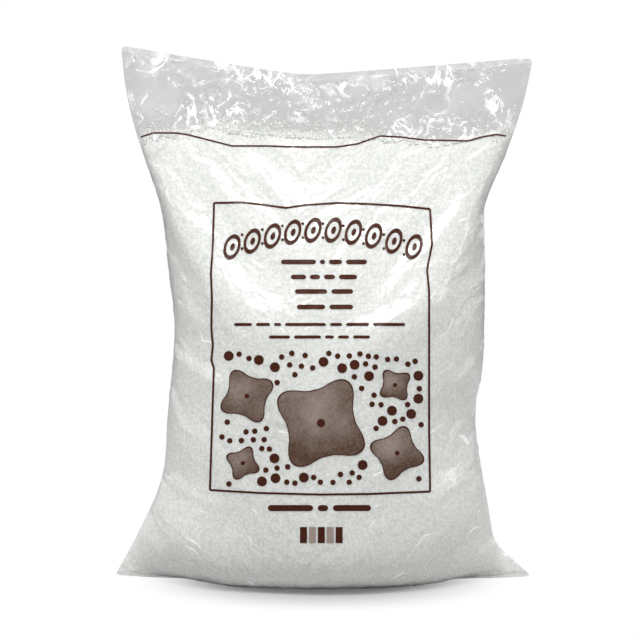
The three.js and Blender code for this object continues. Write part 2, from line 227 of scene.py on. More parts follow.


# Blown LDPE film, 0.1 mm: glossy and clear with a faint grey haze, set in sharp crinkles where it hangs free,
# with painted highlights in white along their creases that stand both for light caught on the crinkles and
# for the whitening of the creases. Where it lies on the beads it takes their white and their rounds, and
# carries a few painted glints.
def makeFilm(name, openness, haze):
    material, tree = newMaterial(name)
    place = addNode(tree, "ShaderNodeTexCoord")
    share = addNode(tree, "ShaderNodeAttribute", {"attribute_name": "beadShare"})
    warp = addNode(tree, "ShaderNodeTexNoise", Vector=place.outputs["Object"], Scale=16, Detail=2)
    bent = addNode(tree, "ShaderNodeMix", {"data_type": "VECTOR"}, Factor=0.06,
                   in4=place.outputs["Object"], in5=warp.outputs["Color"])
    beads = addNode(tree, "ShaderNodeTexVoronoi", {"feature": "F1"}, Vector=place.outputs["Object"],
                    Scale=beadsPerMetre, Randomness=0.8)
    dice = addNode(tree, "ShaderNodeSeparateColor", in0=beads.outputs["Color"])
    packed = addNode(tree, "ShaderNodeMapRange", {"interpolation_type": "SMOOTHSTEP"},
                     Value=share.outputs["Fac"], From_Min=0.86, From_Max=1.0)
    there = addNode(tree, "ShaderNodeMath", {"operation": "LESS_THAN"}, in0=dice.outputs[0],
                    in1=share.outputs["Fac"])
    body = addNode(tree, "ShaderNodeMapRange", Value=beads.outputs["Distance"], From_Min=0.5, From_Max=0.42)
    lone = addNode(tree, "ShaderNodeMath", {"operation": "MULTIPLY"}, in0=there.outputs[0],
                   in1=body.outputs["Result"])
    cover = addNode(tree, "ShaderNodeMath", {"operation": "MAXIMUM"}, in0=packed.outputs["Result"],
                    in1=lone.outputs[0])
    free = addNode(tree, "ShaderNodeMath", {"operation": "SUBTRACT"}, in0=1.0, in1=cover.outputs[0])

    # Painted highlights: white slivers 8 to 30 mm long in clusters, upright and leaning, where the free film
    # is creased. They stand both for light caught on the crinkles and for the whitening of the creases.
    paintedHighlights = None
    for lean, grain, level in paintedHighlightSets:
        turned = addNode(tree, "ShaderNodeMapping", Vector=bent.outputs[1], Rotation=(0, lean, 0))
        tall = addNode(tree, "ShaderNodeMapping", Vector=turned.outputs[0], Scale=grain,
                       Location=(lean * 9, 0, 0))
        noise = addNode(tree, "ShaderNodeTexNoise", Vector=tall.outputs[0], Scale=1, Detail=2, Roughness=0.45)
        sliver = addNode(tree, "ShaderNodeMapRange", Value=noise.outputs["Fac"], From_Min=level,
                         From_Max=level + 0.025)
        if paintedHighlights is None:
            paintedHighlights = sliver.outputs["Result"]
        else:
            most = addNode(tree, "ShaderNodeMath", {"operation": "MAXIMUM"}, in0=paintedHighlights,
                           in1=sliver.outputs["Result"])
            paintedHighlights = most.outputs[0]
    where = addNode(tree, "ShaderNodeTexNoise", Vector=place.outputs["Object"], Scale=17, Detail=1)
    some = addNode(tree, "ShaderNodeMapRange", Value=where.outputs["Fac"], From_Min=0.48, From_Max=0.58)
    paintedHighlights = addNode(tree, "ShaderNodeMath", {"operation": "MULTIPLY"}, in0=paintedHighlights,
                      in1=some.outputs["Result"])
    # The painted highlights lie only on the free film.
    white = addNode(tree, "ShaderNodeMath", {"operation": "MULTIPLY"}, in0=paintedHighlights.outputs[0],
                    in1=free.outputs[0])

    # The tight film is pulled down and inwards from both flanks, and a few painted glints 15 to 30 mm long
    # lie along those pull lines: painted highlights in white that also glow a little by emission.
    axes = addNode(tree, "ShaderNodeSeparateXYZ", in0=bent.outputs[1])
    mirrored = addNode(tree, "ShaderNodeMath", {"operation": "ABSOLUTE"}, in0=axes.outputs[0])
    halves = addNode(tree, "ShaderNodeCombineXYZ", in0=mirrored.outputs[0], in1=axes.outputs[1],
                     in2=axes.outputs[2])
    leaning = addNode(tree, "ShaderNodeMapping", Vector=halves.outputs[0], Rotation=(0, 0.7, 0))
    thin = addNode(tree, "ShaderNodeMapping", Vector=leaning.outputs[0], Scale=(22, 22, 135),
                   Location=(3, 0, 1))
    glintNoise = addNode(tree, "ShaderNodeTexNoise", Vector=thin.outputs[0], Scale=1, Detail=2,
                         Roughness=0.45)
    glint = addNode(tree, "ShaderNodeMapRange", Value=glintNoise.outputs["Fac"], From_Min=0.69, From_Max=0.73,
                    To_Max=0.8)

    # Bead caps are nearly white, and the hollows between them are painted a little darker under the film, a
    # painted shade. The free film is a grey haze with milky patches, paler where single beads cling to it.
    hollowShade = addNode(tree, "ShaderNodeMapRange", {"interpolation_type": "SMOOTHSTEP"},
                     Value=beads.outputs["Distance"], From_Min=0.3, From_Max=0.75)
    capTint = addNode(tree, "ShaderNodeMix", {"data_type": "RGBA"}, Factor=dice.outputs[1],
                      in6=colour("#F7F8F6"), in7=colour("#EDEFEC"))
    beadTint = addNode(tree, "ShaderNodeMix", {"data_type": "RGBA"}, Factor=hollowShade.outputs["Result"],
                       in6=capTint.outputs[2], in7=colour("#E2E4E0"))
    streaky = addNode(tree, "ShaderNodeMapping", Vector=bent.outputs[1], Scale=(30, 30, 12))
    cloud = addNode(tree, "ShaderNodeTexNoise", Vector=streaky.outputs[0], Scale=1, Detail=3)
    milky = addNode(tree, "ShaderNodeMapRange", {"interpolation_type": "SMOOTHSTEP"},
                    Value=cloud.outputs["Fac"], From_Min=0.44, From_Max=0.68, To_Max=0.45)
    near = addNode(tree, "ShaderNodeMapRange", Value=share.outputs["Fac"], From_Max=0.5)
    pale = addNode(tree, "ShaderNodeMath", {"operation": "MAXIMUM"}, in0=milky.outputs["Result"],
                   in1=near.outputs["Result"])
    hazeTint = addNode(tree, "ShaderNodeMix", {"data_type": "RGBA"}, Factor=pale.outputs[0],
                       in6=colour(haze), in7=colour("#D4D6D3"))
    # The free film's haze turns white under the painted highlights.
    filmTint = addNode(tree, "ShaderNodeMix", {"data_type": "RGBA"}, Factor=white.outputs[0],
                       in6=hazeTint.outputs[2], in7=colour("#FFFFFF"))
    # The tight film turns white under the painted glints.
    litTint = addNode(tree, "ShaderNodeMix", {"data_type": "RGBA"}, Factor=glint.outputs["Result"],
                      in6=beadTint.outputs[2], in7=colour("#FFFFFF"))
    tint = addNode(tree, "ShaderNodeMix", {"data_type": "RGBA"}, Factor=cover.outputs[0],
                   in6=filmTint.outputs[2], in7=litTint.outputs[2])
    veil = addNode(tree, "ShaderNodeMapRange", Value=near.outputs["Result"], To_Min=openness,
                   To_Max=filmShare["scatterAlpha"])
    clear = addNode(tree, "ShaderNodeMapRange", Value=white.outputs[0], To_Min=veil.outputs["Result"],
                    To_Max=filmShare["whiteAlpha"])
    seen = addNode(tree, "ShaderNodeMapRange", Value=cover.outputs[0], To_Min=clear.outputs["Result"],
                   To_Max=filmShare["beadAlpha"])

    # The haze scatters light onwards, so the film throws almost no shadow on the beads behind it.
    rays = addNode(tree, "ShaderNodeLightPath")
    shadow = addNode(tree, "ShaderNodeMapRange", Value=rays.outputs["Is Shadow Ray"], To_Min=1.0,
                     To_Max=filmShare["shadowAlpha"])
    alpha = addNode(tree, "ShaderNodeMath", {"operation": "MULTIPLY"}, in0=seen.outputs["Result"],
                    in1=shadow.outputs["Result"])

    # Folds about 30 mm and 10 mm across in the free film, and the beads' 4 mm rounds and faint pull lines in
    # the tight film.
    folds = addNode(tree, "ShaderNodeTexVoronoi", {"feature": "F1"}, Vector=bent.outputs[1], Scale=34)
    small = addNode(tree, "ShaderNodeTexVoronoi", {"feature": "F1"}, Vector=bent.outputs[1], Scale=95)
    both = addNode(tree, "ShaderNodeMath", {"operation": "MULTIPLY_ADD"},
                   in0=small.outputs["Distance"], in1=0.35, in2=folds.outputs["Distance"])
    crinkle = addNode(tree, "ShaderNodeMath", {"operation": "MULTIPLY"}, in0=both.outputs[0],
                      in1=free.outputs[0])
    pebbles = addNode(tree, "ShaderNodeMath", {"operation": "MULTIPLY"}, in0=beads.outputs["Distance"],
                      in1=cover.outputs[0])
    pulled = addNode(tree, "ShaderNodeMapping", Vector=leaning.outputs[0], Scale=(6, 6, 30))
    pull = addNode(tree, "ShaderNodeTexNoise", Vector=pulled.outputs[0], Scale=1, Detail=2, Roughness=0.5)
    tight = addNode(tree, "ShaderNodeBump", Height=pull.outputs["Fac"], Strength=0.5, Distance=0.012)
    sharp = addNode(tree, "ShaderNodeBump", Height=crinkle.outputs[0], Strength=0.6, Distance=0.006,
                    Normal=tight.outputs["Normal"])
    dimpled = addNode(tree, "ShaderNodeBump", {"invert": True}, Height=pebbles.outputs[0], Strength=0.25,
                      Distance=0.0006, Normal=sharp.outputs["Normal"])
    # The painted glints glow by emission, though they are no lamp.
    shine = addNode(tree, "ShaderNodeMath", {"operation": "MULTIPLY"}, in0=glint.outputs["Result"],
                    in1=filmShare["glintGlow"])
    skin = addNode(tree, "ShaderNodeBsdfPrincipled", Base_Color=tint.outputs[2], Roughness=0.3, IOR=1.51,
                   Alpha=alpha.outputs[0], Normal=dimpled.outputs["Normal"],
                   Emission_Color=(1, 1, 1, 1), Emission_Strength=shine.outputs[0])
    skin.inputs["Specular IOR Level"].default_value = 0.25
    skin.inputs["Coat Weight"].default_value = 0.7
    skin.inputs["Coat Roughness"].default_value = 0.07
    tree.links.new(dimpled.outputs["Normal"], skin.inputs["Coat Normal"])
    finishMaterial(tree, skin.outputs["BSDF"])
    return material


# Flexographic ink on the outside of the film: thin, a little uneven and nearly matt, and painted a little
# darker over the hollows between the beads, a painted shade. Its point attribute inkShare makes the halftone
# of a large field denser from place to place.
def makeInk(name, dark, light, cover):
    material, tree = newMaterial(name)
    place = addNode(tree, "ShaderNodeTexCoord")
    grain = addNode(tree, "ShaderNodeTexVoronoi", {"feature": "F1"}, Vector=place.outputs["Object"],
                    Scale=beadsPerMetre)
    # Painted shade: the ink is darker over the hollows between the beads.
    inkHollowShade = addNode(tree, "ShaderNodeMapRange", Value=grain.outputs["Distance"], From_Min=0.25,
                    From_Max=0.75, To_Min=-0.08, To_Max=0.08)
    dense = addNode(tree, "ShaderNodeAttribute", {"attribute_name": "inkShare"})
    cloud = addNode(tree, "ShaderNodeTexNoise", Vector=place.outputs["Object"], Scale=26, Detail=2)
    drift = addNode(tree, "ShaderNodeMapRange", Value=cloud.outputs["Fac"], From_Min=0.3, From_Max=0.7,
                    To_Min=-0.22, To_Max=0.22)
    both = addNode(tree, "ShaderNodeMath", {"operation": "ADD"}, in0=drift.outputs[0],
                   in1=dense.outputs["Fac"])
    shade = addNode(tree, "ShaderNodeMath", {"operation": "ADD", "use_clamp": True}, in0=both.outputs[0],
                    in1=inkHollowShade.outputs[0])
    tint = addNode(tree, "ShaderNodeMix", {"data_type": "RGBA"}, Factor=shade.outputs[0],
                   in6=colour(light), in7=colour(dark))
    dimpled = addNode(tree, "ShaderNodeBump", {"invert": True}, Height=grain.outputs["Distance"],
                      Strength=0.2, Distance=0.0008)
    skin = addNode(tree, "ShaderNodeBsdfPrincipled", Base_Color=tint.outputs[2], Roughness=0.42, IOR=1.5,
                   Alpha=cover, Normal=dimpled.outputs["Normal"])
    skin.inputs["Specular IOR Level"].default_value = 0.15
    skin.inputs["Coat Weight"].default_value = 0.06
    skin.inputs["Coat Roughness"].default_value = 0.12
    finishMaterial(tree, skin.outputs["BSDF"])
    return material


polystyrene = makePolystyrene()
beadSkin = makeBeadSkin()
filmClear = makeFilm("LDPE film", 0.32, "#8A8C8A")
filmWelded = makeFilm("welded LDPE film", 0.5, "#C9CBC9")
inkDark = makeInk("flexo ink dark brown", "#300E02", "#441A06", 1.0)
inkTint = makeInk("flexo ink brown tint", "#5E4638", "#AFA097", 0.9)
print("materials are made")


def copyOfNode(node, name):
    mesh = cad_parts[node].data.copy()
    mesh.materials.clear()
    piece = bpy.data.objects.new(name, mesh)
    scene.collection.objects.link(piece)
    makeActive(piece)
    bpy.ops.object.mode_set(mode="EDIT")
    bpy.ops.mesh.select_all(action="SELECT")
    bpy.ops.mesh.remove_doubles(threshold=0.000002)
    bpy.ops.object.mode_set(mode="OBJECT")
    return piece


# The CAD film has an outer and an inner skin, 0.1 mm apart, and only the outer one is kept. It comes in
# triangles, so pairs of them are made quads again before it is subdivided.
filmLook = {"subdivisions": 2, "frames": 20, "slack": 0.08, "mostMove": 0.005, "fused": 0.00015,
            "vent": 0.0018, "ventAbove": 0.5}


# Counts the skins that a line from the face crosses. It crosses two, or six, from a face of the inner skin
# and none, or four, from one of the outer skin.
def facesInward(tree, face):
    off, on, mostSkins = 0.00002, 0.000002, 12
    start, crossed = face.calc_center_median() + face.normal * off, 0
    while crossed < mostSkins:
        hit, _, _, _ = tree.ray_cast(start, face.normal)
        if hit is None:
            break
        start = hit + face.normal * on
        crossed += 1
    return crossed % 4 == 2


# Faces judged unlike both their neighbours are judged again, and only what joins on to the top edge stays.
# The vent's hole is closed, because it is smaller than a bead and the crumples would tear at it.
def keepOuterSkin(piece):
    work = bmesh.new()
    work.from_mesh(piece.data)
    work.normal_update()
    tree = BVHTree.FromBMesh(work)
    inner = {face for face in work.faces if facesInward(tree, face)}
    for _ in range(2):
        around = {face: [other for side in face.edges for other in side.link_faces if other is not face]
                  for face in work.faces}
        odd = [f for f in work.faces if sum((o in inner) != (f in inner) for o in around[f]) >= 2]
        inner.symmetric_difference_update(odd)
    bmesh.ops.delete(work, geom=list(inner), context="FACES")
    work.faces.ensure_lookup_table()
    top = max(work.verts, key=lambda v: v.co.z)
    reached, edge = set(top.link_faces), list(top.link_faces)
    while edge:
        face = edge.pop()
        for side in face.edges:
            for other in side.link_faces:
                if other not in reached:
                    reached.add(other)
                    edge.append(other)
    bmesh.ops.delete(work, geom=[f for f in work.faces if f not in reached], context="FACES")
    vent = [v for v in work.verts if v.is_boundary and v.co.z > filmLook["ventAbove"]]
    centre = sum((v.co for v in vent), Vector()) / max(1, len(vent))
    for _ in range(3):
        rim = [e for e in work.edges if len(e.link_faces) == 1]
        bmesh.ops.holes_fill(work, edges=rim, sides=0)
    rimOfVent = [v for v in work.verts if vent and (v.co - centre).length < filmLook["vent"]]
    bmesh.ops.dissolve_verts(work, verts=rimOfVent)
    openEdges = [e for e in work.edges if e.is_boundary]
    print("outer skin keeps", len(work.faces), "faces,", len(openEdges), "open edges")
    work.to_mesh(piece.data)
    work.free()


def makeFilmSkin():
    film = copyOfNode("bag_film", "film")
    keepOuterSkin(film)
    makeActive(film)
    bpy.ops.object.mode_set(mode="EDIT")
    bpy.ops.mesh.select_all(action="SELECT")
    bpy.ops.mesh.tris_convert_to_quads(face_threshold=math.pi, shape_threshold=math.pi)
    bpy.ops.mesh.normals_make_consistent(inside=False)
    bpy.ops.object.mode_set(mode="OBJECT")
    film.data.materials.append(filmClear)
    film.data.materials.append(filmWelded)
    for face in film.data.polygons:
        fused = all(abs(film.data.vertices[v].co.y) < filmLook["fused"] for v in face.vertices)
        face.material_index = 1 if fused else 0
    applyModifier(film, "SUBSURF", levels=filmLook["subdivisions"], render_levels=filmLook["subdivisions"])
    return film


film = makeFilmSkin()
print("film skin has", len(film.data.polygons), "faces")


# The top of the heap behind the front panel, from left to right, in millimetres.
heapKnots = np.array([(-252, 592), (-206, 599), (-152, 609), (-84, 599), (30, 596), (110, 592),
                      (158, 585), (216, 597), (252, 596)]) / 1000
fillLook = {"subdivisions": 2, "inside": 0.0012, "drawnIn": 0.0008, "narrowed": 0.997, "lowest": 0.0016}


def heapHeight(x):
    return np.interp(x, heapKnots[:, 0], heapKnots[:, 1])


def makeBeadFill():
    fill = copyOfNode("bead_fill", "packedBeads")
    makeActive(fill)
    bpy.ops.object.mode_set(mode="EDIT")
    bpy.ops.mesh.select_all(action="SELECT")
    bpy.ops.mesh.tris_convert_to_quads(face_threshold=math.pi, shape_threshold=math.pi)
    bpy.ops.object.mode_set(mode="OBJECT")
    applyModifier(fill, "SUBSURF", levels=fillLook["subdivisions"], render_levels=fillLook["subdivisions"])
    fill.data.materials.append(polystyrene)
    return fill


fill = makeBeadFill()
print("packed beads have", len(fill.data.polygons), "faces")


# How many of the bead places against the film hold one: all of them below the heap's top, and fewer and
# fewer in the first few centimetres above it. The table gives x in millimetres and the share that starts
# there. The welded seams at both sides hold none.
beadsAbove = np.array([(-252, 0.5), (-206, 0.45), (-185, 0.5), (-170, 0.25), (-120, 0.8), (-60, 0.7),
                       (0, 0.5), (50, 0.7), (90, 0.15), (150, 0.4), (200, 0.5), (240, 0.3)])


def beadShare(rest, above, half):
    below = eased(-above, -0.005, 0.001)
    scattered = np.interp(rest[:, 0] * 1000, beadsAbove[:, 0], beadsAbove[:, 1])
    fading = 0.8 * scattered * np.exp(-np.maximum(above, 0) / 0.013)
    insideSeam = eased(half, 0.0002, 0.0022)
    fullSide = eased(rest[:, 2], 0.006, 0.012) * eased(-above, 0.01, 0.03)
    return np.maximum(below, fading) * np.maximum(insideSeam, fullSide)


# The film is slack where it hangs free, so it buckles into crumples there. On the beads it stays tight.
def crumple(film):
    rest = pointsOf(film)
    normals = normalsOf(film)
    above = rest[:, 2] - heapHeight(rest[:, 0])
    half = np.abs(rest[:, 1])
    addAttribute(film, "beadShare", beadShare(rest, above, half))
    slack = np.clip(eased(above, -0.13, 0.0) * 0.85 + 0.15, 0, 1)
    held = np.where(half < 0.0009, 1.0, 0.0)
    pins = film.vertex_groups.new(name="held")
    looseness = film.vertex_groups.new(name="slack")
    for i in range(len(rest)):
        if held[i]:
            pins.add([i], 1.0, "REPLACE")
        looseness.add([i], float(slack[i]), "REPLACE")
    makeActive(film)
    cloth = film.modifiers.new("Cloth", "CLOTH")
    settings = cloth.settings
    settings.quality = 6
    settings.mass = 0.1
    settings.tension_stiffness = 40
    settings.compression_stiffness = 40
    settings.shear_stiffness = 20
    settings.bending_stiffness = 0.005
    settings.tension_damping = 5
    settings.compression_damping = 5
    settings.shear_damping = 5
    settings.air_damping = 4
    settings.vertex_group_mass = "held"
    settings.pin_stiffness = 1
    settings.vertex_group_shrink = "slack"
    settings.shrink_min = 0.0
    settings.shrink_max = -filmLook["slack"]
    settings.effector_weights.gravity = 0
    cloth.collision_settings.use_collision = False
    cloth.collision_settings.use_self_collision = False
    kick = randomDraws.normal(0, 0.00035, len(rest))
    setPoints(film, rest + normals * (kick * (1 - held))[:, None])
    for number in range(1, filmLook["frames"] + 1):
        scene.frame_set(number)
    makeActive(film)
    bpy.ops.object.modifier_apply(modifier=cloth.name)
    scene.frame_set(1)

    # The crumples stay near the CAD film: 5 mm out, 4 mm in where it is free, and 0.4 mm in on the beads.
    moved = pointsOf(film) - rest
    out = np.einsum("ij,ij->i", moved, normals)
    print("crumples reach", np.percentile(out, [1, 10, 50, 90, 99]).round(4))
    side = moved - out[:, None] * normals
    inward = np.where(above > 0.05, 0.004, 0.0004)
    room = np.minimum(filmLook["mostMove"], half * 0.7)
    out = np.clip(out, -np.minimum(inward, room), room)
    reach = np.linalg.norm(side, axis=1) + 1e-9
    side *= np.minimum(1, np.minimum(0.003, room) / reach)[:, None]
    setPoints(film, rest + side + out[:, None] * normals)


# Long folds of the front panel: the line in picture pixels, its height in metres, its half width in pixels.
frontFolds = [([(486, 190), (459, 208), (431, 246), (402, 276), (366, 322)], 0.0042, 4.5),
              ([(393, 248), (379, 278)], 0.0020, 5.0),
              ([(428, 299), (396, 318), (364, 347)], 0.0030, 6.0),
              ([(176, 140), (219, 186), (244, 222)], 0.0028, 4.5),
              ([(240, 150), (284, 200), (310, 236)], 0.0030, 5.0),
              ([(172, 352), (212, 382), (236, 392)], 0.0030, 6.5),
              ([(163, 478), (208, 502), (236, 514)], 0.0036, 6.0),
              ([(176, 300), (204, 330)], 0.0022, 6.0),
              ([(476, 360), (452, 388)], 0.0026, 6.0),
              ([(470, 474), (436, 500), (420, 516)], 0.0032, 6.0),
              ([(150, 536), (170, 564)], 0.0022, 4.5),
              ([(500, 540), (470, 560)], 0.0022, 5.0),
              ([(263, 298), (284, 318)], 0.0014, 4.0)]
foldReach = 6


def foldFront(film):
    points, normals = pointsOf(film), normalsOf(film)
    seen = pictureOf(points)
    rise = np.zeros(len(points))
    for line, height, half in frontFolds:
        line = np.array(line, dtype=float)
        lengths = np.hypot(*np.diff(line, axis=0).T)
        whole, start = lengths.sum(), 0.0
        nearest, along = np.full(len(points), 1e9), np.zeros(len(points))
        for a, b, length in zip(line[:-1], line[1:], lengths):
            share = np.clip(((seen - a) @ (b - a)) / length ** 2, 0, 1)
            away = np.hypot(*(seen - a - share[:, None] * (b - a)).T)
            closer = away < nearest
            nearest = np.where(closer, away, nearest)
            along = np.where(closer, (start + share * length) / whole, along)
            start += length
        ends = eased(along, 0, 0.25) * eased(-along, -1, -0.7)
        flanks = (nearest < half * foldReach) / (1 + (nearest / half) ** 2)
        rise = np.maximum(rise, height * ends * flanks)
    facing = eased(-normals[:, 1], 0.15, 0.5)
    points += normals * (rise * facing)[:, None]
    points[:, 2] = np.maximum(points[:, 2], 0.0)
    setPoints(film, points)


crumple(film)
foldFront(film)
makeActive(film)
bpy.ops.object.shade_smooth()
film.data.calc_loop_triangles()
filmTree = BVHTree.FromPolygons([tuple(point) for point in pointsOf(film)],
                                [tuple(triangle.vertices) for triangle in film.data.loop_triangles])
print("film is crumpled")


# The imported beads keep 1.2 mm inside the film, as the rounds of the outer beads do.
def keepInside(fill):
    points = pointsOf(fill)
    for i, (x, y, z) in enumerate(points):
        side = 1 if y > 0 else -1
        hit, _, _, _ = filmTree.ray_cast(Vector((x, 0, z)), Vector((0, side, 0)))
        wall = abs(y) if hit is None else abs(hit.y)
        points[i, 1] = side * max(0.0, min(abs(y) - fillLook["drawnIn"], wall - fillLook["inside"]))
    points[:, 0] *= fillLook["narrowed"]
    points[:, 2] = np.maximum(points[:, 2], fillLook["lowest"])
    setPoints(fill, points)


keepInside(fill)

# Loose beads of forty faces each. They lie on the heap and cling to the film's two walls above it.
scatterLook = {"onHeap": 420, "onFront": 150, "onBack": 130, "sizes": (0.0034, 0.0046), "highest": 0.05,
               "depth": 0.019, "fade": 0.011, "gap": 0.0005, "segments": 8, "rings": 5}


def beadInside(x, z, side, radius):
    hit, normal, _, _ = filmTree.ray_cast(Vector((x, -side, z)), Vector((0, side, 0)))
    if hit is None:
        return None
    outward = normal if normal.y * side < 0 else -normal
    place = hit - outward * (radius + scatterLook["gap"])
    return place if place.y * side <= -radius - 0.0004 else None


def makeHeapBeads():
    bpy.ops.mesh.primitive_uv_sphere_add(segments=scatterLook["segments"], ring_count=scatterLook["rings"],
                                         radius=1)
    master = bpy.context.object
    bpy.ops.object.mode_set(mode="EDIT")
    bpy.ops.mesh.select_all(action="SELECT")
    bpy.ops.transform.resize(value=(1, 1, 0.96))
    bpy.ops.object.mode_set(mode="OBJECT")
    places = []
    while len(places) < scatterLook["onHeap"]:
        x = randomDraws.uniform(-0.225, 0.22)
        radius = randomDraws.uniform(*scatterLook["sizes"]) / 2
        depth = randomDraws.uniform(-scatterLook["depth"], scatterLook["depth"])
        height = heapHeight(x) + radius * randomDraws.uniform(-0.2, 0.9)
        places.append((Vector((x, depth, height)), radius))
    for side, count in ((1, scatterLook["onFront"]), (-1, scatterLook["onBack"])):
        left = count
        while left:
            x = randomDraws.uniform(-0.235, 0.228)
            above = randomDraws.exponential(scatterLook["fade"])
            if randomDraws.random() > np.interp(x * 1000, beadsAbove[:, 0], beadsAbove[:, 1]):
                continue
            if above > scatterLook["highest"]:
                continue
            radius = randomDraws.uniform(*scatterLook["sizes"]) / 2
            place = beadInside(x, heapHeight(x) + above, side, radius)
            if place is None:
                continue
            places.append((place, radius))
            left -= 1
    copies = []
    for place, radius in places:
        piece = bpy.data.objects.new("bead", master.data.copy())
        piece.location = place
        piece.scale = (radius, radius, radius)
        scene.collection.objects.link(piece)
        copies.append(piece)
    deselectAll()
    bpy.data.objects.remove(master)
    heap = joined(copies, "heapBeads")
    placeInMesh(heap)
    heap.data.materials.append(beadSkin)
    bpy.ops.object.shade_smooth()
    return heap


heapBeads = makeHeapBeads()
print("heap beads have", len(heapBeads.data.polygons), "faces")

# The print: a frame, a line, plain bars, outlined ovals, cushions and dots in brown. Places and sizes are in
# picture pixels. Each shape starts as a flat grid, and every point of it is laid on the film along its sight
# line. Marks that lie on a field are lifted by "over" as well.
printLook = {"lift": 0.00045, "over": 0.0002, "thickness": 0.0001, "step": 1.4, "border": 2.1, "stripe": 1.6}
borderTop = [(214, 203), (243, 202.5), (264, 205), (286, 208), (307, 205), (338, 203), (368, 204), (400, 206),
             (430, 209)]
borderRight = [(430, 209), (432, 244), (427, 270), (429, 291), (429, 343), (429, 430), (430, 491.5)]
borderBottom = [(430, 491.5), (368, 494), (319, 494.5), (261, 493), (210, 490)]
borderLeft = [(210, 490), (212, 430), (214, 368), (211.5, 360), (213, 345), (211.5, 328), (212, 297),
              (211, 273), (213, 242), (214, 203)]
topStripe = [(141, 137), (153, 133), (176, 133), (189, 135), (232, 146), (265, 146), (298, 147), (337, 147),
             (357, 144), (380, 136), (400, 137), (424, 140), (468, 141), (482, 137), (496, 134.6), (506, 136)]


def printedPatch(name, columns, rows, placeOf, ink, over=0.0):
    deselectAll()
    bpy.ops.mesh.primitive_grid_add(x_subdivisions=columns, y_subdivisions=rows, size=2)
    piece = bpy.context.object
    piece.name = name
    missed = []
    for vertex in piece.data.vertices:
        across, up = (vertex.co.x + 1) / 2, (vertex.co.y + 1) / 2
        start, way = sightLine(*placeOf(across, up))
        hit, normal, _, _ = filmTree.ray_cast(start, way)
        if hit is None:
            missed.append(vertex.index)
            continue
        outward = normal if normal.dot(way) < 0 else -normal
        vertex.co = hit + outward * (printLook["lift"] + over)
    if missed:
        print(name, "misses the film at", len(missed), "points")
    bpy.ops.object.mode_set(mode="EDIT")
    bpy.ops.mesh.select_all(action="SELECT")
    bpy.ops.mesh.remove_doubles(threshold=0.00002)
    bpy.ops.mesh.normals_make_consistent(inside=False)
    bpy.ops.object.mode_set(mode="OBJECT")
    towards = sum(face.normal.y * face.area for face in piece.data.polygons)
    if towards > 0:
        piece.data.flip_normals()
    piece.data.materials.append(ink)
    return piece


def pathOf(knots):
    knots = np.array(knots, dtype=float)
    lengths = np.concatenate([[0], np.cumsum(np.hypot(*np.diff(knots, axis=0).T))])
    return knots, lengths


def strip(name, knots, width, ink):
    knots, lengths = pathOf(knots)

    def placeOf(along, across):
        reach = along * lengths[-1]
        point = [np.interp(reach, lengths, knots[:, i]) for i in (0, 1)]
        ahead = [np.interp(min(reach + 3, lengths[-1]), lengths, knots[:, i]) for i in (0, 1)]
        behind = [np.interp(max(reach - 3, 0), lengths, knots[:, i]) for i in (0, 1)]
        dx, dy = ahead[0] - behind[0], ahead[1] - behind[1]
        size = math.hypot(dx, dy) + 1e-9
        offset = (across - 0.5) * width
        return point[0] - dy / size * offset, point[1] + dx / size * offset

    columns = max(2, int(lengths[-1] / printLook["step"]))
    return printedPatch(name, columns, 1, placeOf, ink)


# A disc or a ring. For each angle radiusOf gives its half width, its half height and its slant.
def roundPatch(name, centre, radiusOf, rings, around, ink, inner=0.0, over=0.0):
    def placeOf(turn, out):
        angle = turn * 2 * math.pi
        wide, high, slant = radiusOf(angle)
        reach = inner + (1 - inner) * out
        rise = high * reach * math.sin(angle)
        return centre[0] + wide * reach * math.cos(angle) + rise * slant, centre[1] - rise

    return printedPatch(name, around, rings, placeOf, ink, over)


def roundOf(radius):
    return lambda angle: (radius, radius, 0.0)


def finishPrint(pieces, name):
    piece = joined(pieces, name)
    placeInMesh(piece)
    applyModifier(piece, "SOLIDIFY", thickness=printLook["thickness"], offset=-1, use_even_offset=False)
    bpy.ops.object.shade_smooth_by_angle(angle=math.radians(50))
    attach(piece, "root")
    print(name, "has", len(piece.data.polygons), "faces")


borderSides = (borderTop, borderRight, borderBottom, borderLeft)
finishPrint([strip("border", side, printLook["border"], inkDark) for side in borderSides], "printBorder")
finishPrint([strip("stripe", topStripe, printLook["stripe"], inkDark)], "printStripe")

# An arched row of slanted outlined ovals with small rounds between them.
garlandLook = {"count": 10, "left": 232, "right": 414, "rise": 17, "end": 247, "oval": (8.4, 12.8),
               "inner": 0.67, "slant": 0.22, "seed": (0.28, 0.3), "bud": 1.5}


def ovalOf(wideShare, highShare):
    wide, high = garlandLook["oval"]
    return lambda angle: (wide * wideShare, high * highShare, garlandLook["slant"])


def makeGarland():
    pieces = []
    for i in range(garlandLook["count"]):
        share = i / (garlandLook["count"] - 1)
        x = garlandLook["left"] + (garlandLook["right"] - garlandLook["left"]) * share
        y = garlandLook["end"] - garlandLook["rise"] * math.sin(math.pi * share)
        pieces.append(roundPatch("oval", (x, y), ovalOf(1.0, 1.0), 1, 26, inkDark, garlandLook["inner"]))
        pieces.append(roundPatch("seed", (x + 0.5, y), ovalOf(*garlandLook["seed"]), 2, 12, inkDark))
        if i:
            bud = roundOf(garlandLook["bud"])
            pieces.append(roundPatch("bud", (x - 10.1, y - 6.5), bud, 1, 10, inkDark))
            pieces.append(roundPatch("bud", (x - 10.1, y + 7.5), bud, 1, 10, inkDark))
    return pieces


finishPrint(makeGarland(), "printGarland")

